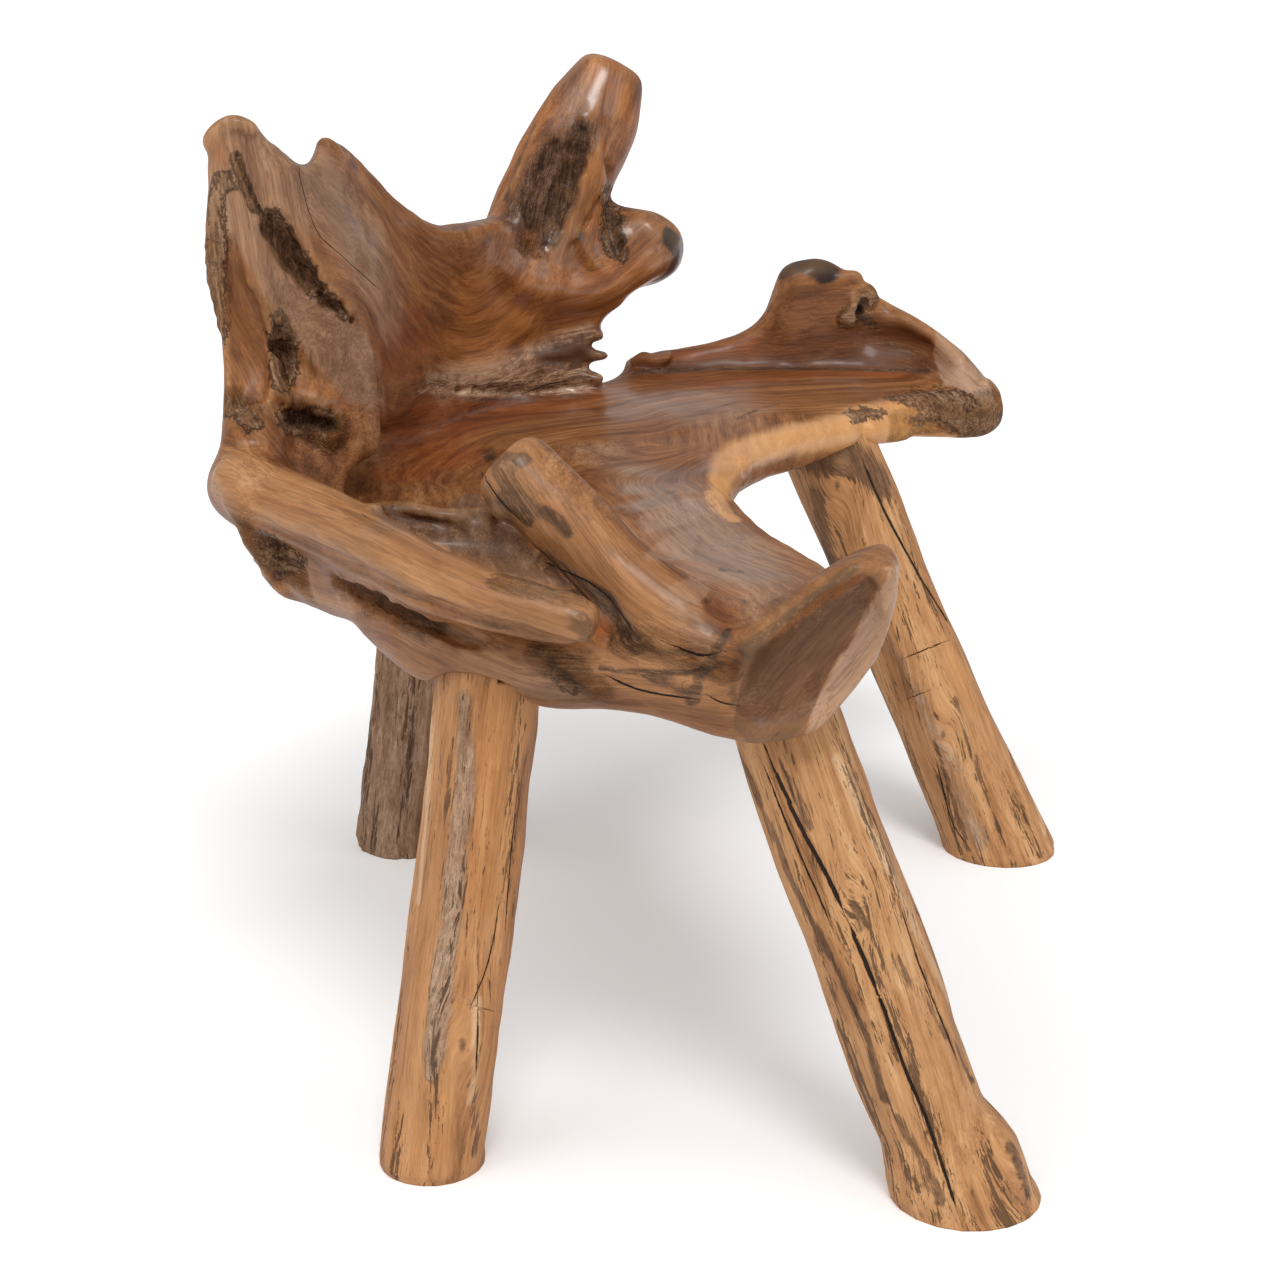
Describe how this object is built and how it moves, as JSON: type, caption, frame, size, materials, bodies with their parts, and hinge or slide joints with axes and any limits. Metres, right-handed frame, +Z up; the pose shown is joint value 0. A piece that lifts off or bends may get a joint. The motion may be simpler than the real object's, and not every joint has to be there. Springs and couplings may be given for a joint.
{
  "type": "bench",
  "caption": "Bench carved from a tree root, with a hollow curved back, low arms and an upright horn, on splayed round log legs.",
  "frame": {"origin": "On the floor, under the middle of the bench's box in plan. The four feet stand on Z = 0.", "axes": "+X runs along the seat, from the near arm to the far arm, and is the longest side. +Y points to the back. The sitter faces -Y, where the front edge is hollow. +Z is up."},
  "size_m": [1.0534, 0.8098, 0.8187],
  "materials": {
    "root_teak": "hand-carved teak root, sanded smooth and waxed, glossy on the seat and matt on the back",
    "leg_teak": "peeled teak log with checks and knots, satin",
    "dowel_teak": "plain turned teak"
  },
  "bodies": {
    "root": {"seat_root": "root_teak", "leg_near_back": "leg_teak", "leg_near_front": "leg_teak", "leg_far_back": "leg_teak", "leg_far_front": "leg_teak", "dowel_near_back": "dowel_teak", "dowel_near_front": "dowel_teak", "dowel_far_back": "dowel_teak", "dowel_far_front": "dowel_teak"}
  },
  "joints": []
}
